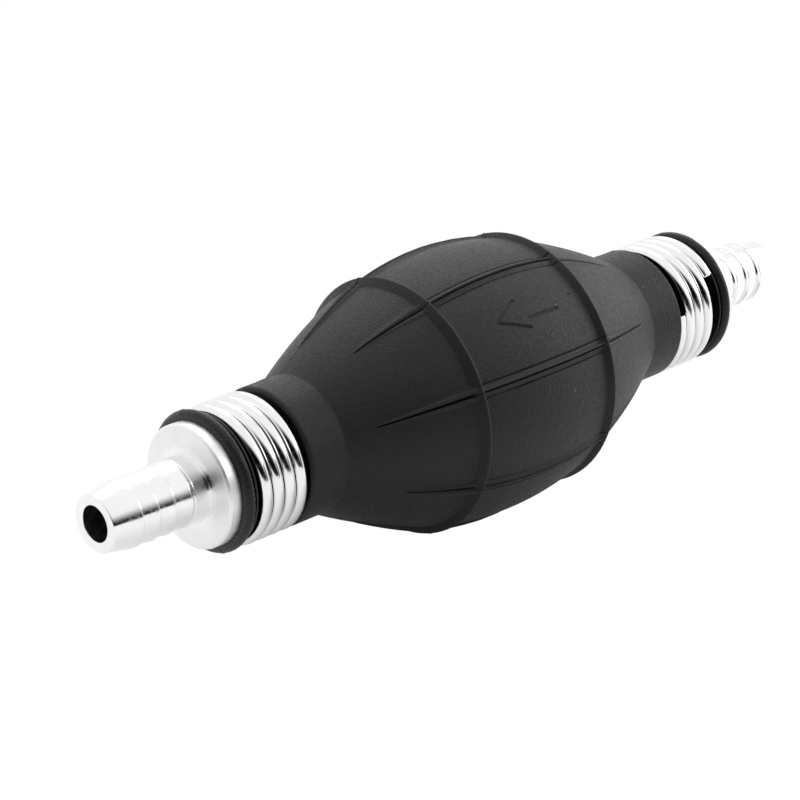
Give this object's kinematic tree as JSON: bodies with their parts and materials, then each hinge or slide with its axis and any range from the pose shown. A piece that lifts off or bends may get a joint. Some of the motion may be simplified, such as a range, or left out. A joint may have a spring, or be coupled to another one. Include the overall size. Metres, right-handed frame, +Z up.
{
  "type": "siphon bulb pump",
  "caption": "In-line hand priming pump: a ribbed rubber bulb between two barbed aluminium hose fittings, each with a spring-loaded check valve and a coil clamp.",
  "frame": {"origin": "centre of the bulb, on the flow axis, midway between the two hose tips", "axes": "+X along the flow axis from the outlet to the inlet (liquid flows towards -X), +Z up from the bulb's bottom squeezed wall to its top one"},
  "size_m": [0.199, 0.0584, 0.0584],
  "materials": {
    "bulb_rubber": "matte moulded black rubber with a fine grain",
    "fitting_aluminium": "bright turned aluminium with fine lathe marks",
    "clamp_wire": "polished bright wire",
    "spring_steel": "drawn stainless spring steel",
    "valve_plastic": "natural acetal, machined",
    "poppet_plastic": "black acetal, moulded",
    "seal_rubber": "smooth nitrile"
  },
  "bodies": {
    "pump_body": {"bulb": "bulb_rubber", "outlet_fitting": "fitting_aluminium", "outlet_clamp": "clamp_wire", "outlet_retaining_ring": "spring_steel", "outlet_valve_housing": "valve_plastic", "outlet_valve_oring": "seal_rubber", "outlet_valve_spring": "spring_steel", "outlet_valve_guide": "poppet_plastic", "inlet_fitting": "fitting_aluminium", "inlet_clamp": "clamp_wire", "inlet_retaining_ring": "spring_steel", "inlet_valve_housing": "valve_plastic", "inlet_valve_oring": "seal_rubber", "inlet_valve_spring": "spring_steel", "inlet_valve_guide": "poppet_plastic"},
    "top_wall": {"bulb_top_wall": "bulb_rubber"},
    "bottom_wall": {"bulb_bottom_wall": "bulb_rubber"},
    "outlet_poppet": {"outlet_valve_poppet": "poppet_plastic", "outlet_valve_seal": "seal_rubber"},
    "inlet_poppet": {"inlet_valve_poppet": "poppet_plastic", "inlet_valve_seal": "seal_rubber"}
  },
  "joints": [
    {"name": "squeeze", "type": "slide", "parent": "pump_body", "child": "top_wall", "axis": [0, 0, -1], "range_m": [0, 0.008], "stiffness_N_per_m": 3500},
    {"name": "squeeze_other_side", "type": "slide", "parent": "pump_body", "child": "bottom_wall", "axis": [0, 0, 1], "range_m": [0, 0.008], "stiffness_N_per_m": 3500},
    {"name": "outlet_valve_lift", "type": "slide", "parent": "pump_body", "child": "outlet_poppet", "axis": [-1, 0, 0], "range_m": [0, 0.0022], "stiffness_N_per_m": 250, "springref_m": -0.001, "deforming": ["outlet_valve_spring"]},
    {"name": "inlet_valve_lift", "type": "slide", "parent": "pump_body", "child": "inlet_poppet", "axis": [-1, 0, 0], "range_m": [0, 0.0022], "stiffness_N_per_m": 250, "springref_m": -0.001, "deforming": ["inlet_valve_spring"]}
  ],
  "couplings": [
    {"joint": "squeeze_other_side", "follows": "squeeze", "ratio": 1}
  ]
}
